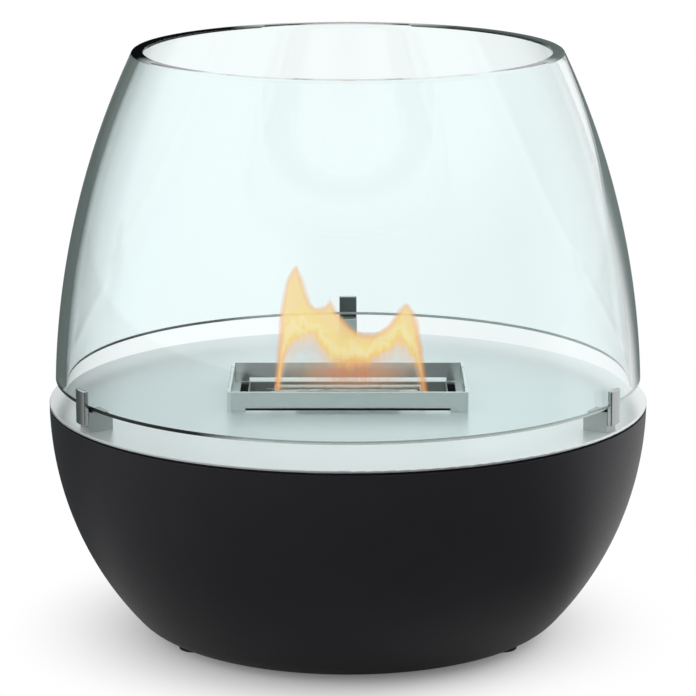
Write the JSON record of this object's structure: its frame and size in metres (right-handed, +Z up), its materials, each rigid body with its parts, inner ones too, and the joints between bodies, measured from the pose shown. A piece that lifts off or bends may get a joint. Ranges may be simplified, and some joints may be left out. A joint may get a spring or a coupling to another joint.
{
  "type": "bioethanol fireplace",
  "caption": "Table-top bioethanol fireplace: round bowl with a steel plate, an open-topped glass shade held by clips, and a lift-out burner with a sliding damper in a flame guard.",
  "frame": {"origin": "centre of the plane that the three feet stand on, under the bowl's axis", "axes": "+Z up along the bowl's axis, -Y to the front, +X to the right seen from the front"},
  "size_m": [0.35, 0.35, 0.3438],
  "materials": {
    "black_powder_coat": "fine matte powder coat",
    "rubber": "matte black rubber",
    "zinc_steel": "zinc-plated steel",
    "brushed_plate": "brushed stainless steel",
    "shade_glass": "clear float glass, ground edges",
    "clip_metal": "satin stainless steel",
    "pad_rubber": "black silicone pad",
    "guard_steel": "brushed stainless sheet",
    "dark_steel": "plain steel sheet",
    "burner_steel": "stainless sheet",
    "ceramic_wool": "white ceramic fibre"
  },
  "bodies": {
    "base": {"base_bowl": "black_powder_coat", "foot_rear": "rubber", "foot_left": "rubber", "foot_right": "rubber", "foot_screws": "zinc_steel", "foot_nuts": "zinc_steel", "rim_ring": "black_powder_coat", "rim_nuts": "zinc_steel", "top_plate": "brushed_plate", "clip_block_rear": "clip_metal", "clip_block_left": "clip_metal", "clip_block_right": "clip_metal", "clip_tab_rear": "clip_metal", "clip_tab_left": "clip_metal", "clip_tab_right": "clip_metal", "tab_dowels": "zinc_steel", "glass_pads": "pad_rubber", "clip_screws": "zinc_steel", "guard_front": "guard_steel", "guard_rear": "guard_steel", "guard_left": "guard_steel", "guard_right": "guard_steel", "burner_housing": "dark_steel", "heat_shield": "dark_steel", "shield_spacers": "zinc_steel", "shield_screws": "zinc_steel"},
    "glass": {"glass_shade": "shade_glass"},
    "burner": {"burner_tank": "burner_steel", "burner_cover": "burner_steel", "flame_box": "burner_steel", "ceramic_wool": "ceramic_wool"},
    "damper": {"damper_plate": "burner_steel"}
  },
  "joints": [
    {"name": "glass_lift", "type": "slide", "parent": "base", "child": "glass", "axis": [0, 0, 1], "range_m": [0, 0.15]},
    {"name": "burner_lift", "type": "slide", "parent": "base", "child": "burner", "axis": [0, 0, 1], "range_m": [0, 0.09]},
    {"name": "damper_slide", "type": "slide", "parent": "burner", "child": "damper", "axis": [0, 1, 0], "range_m": [0, 0.0195]}
  ]
}
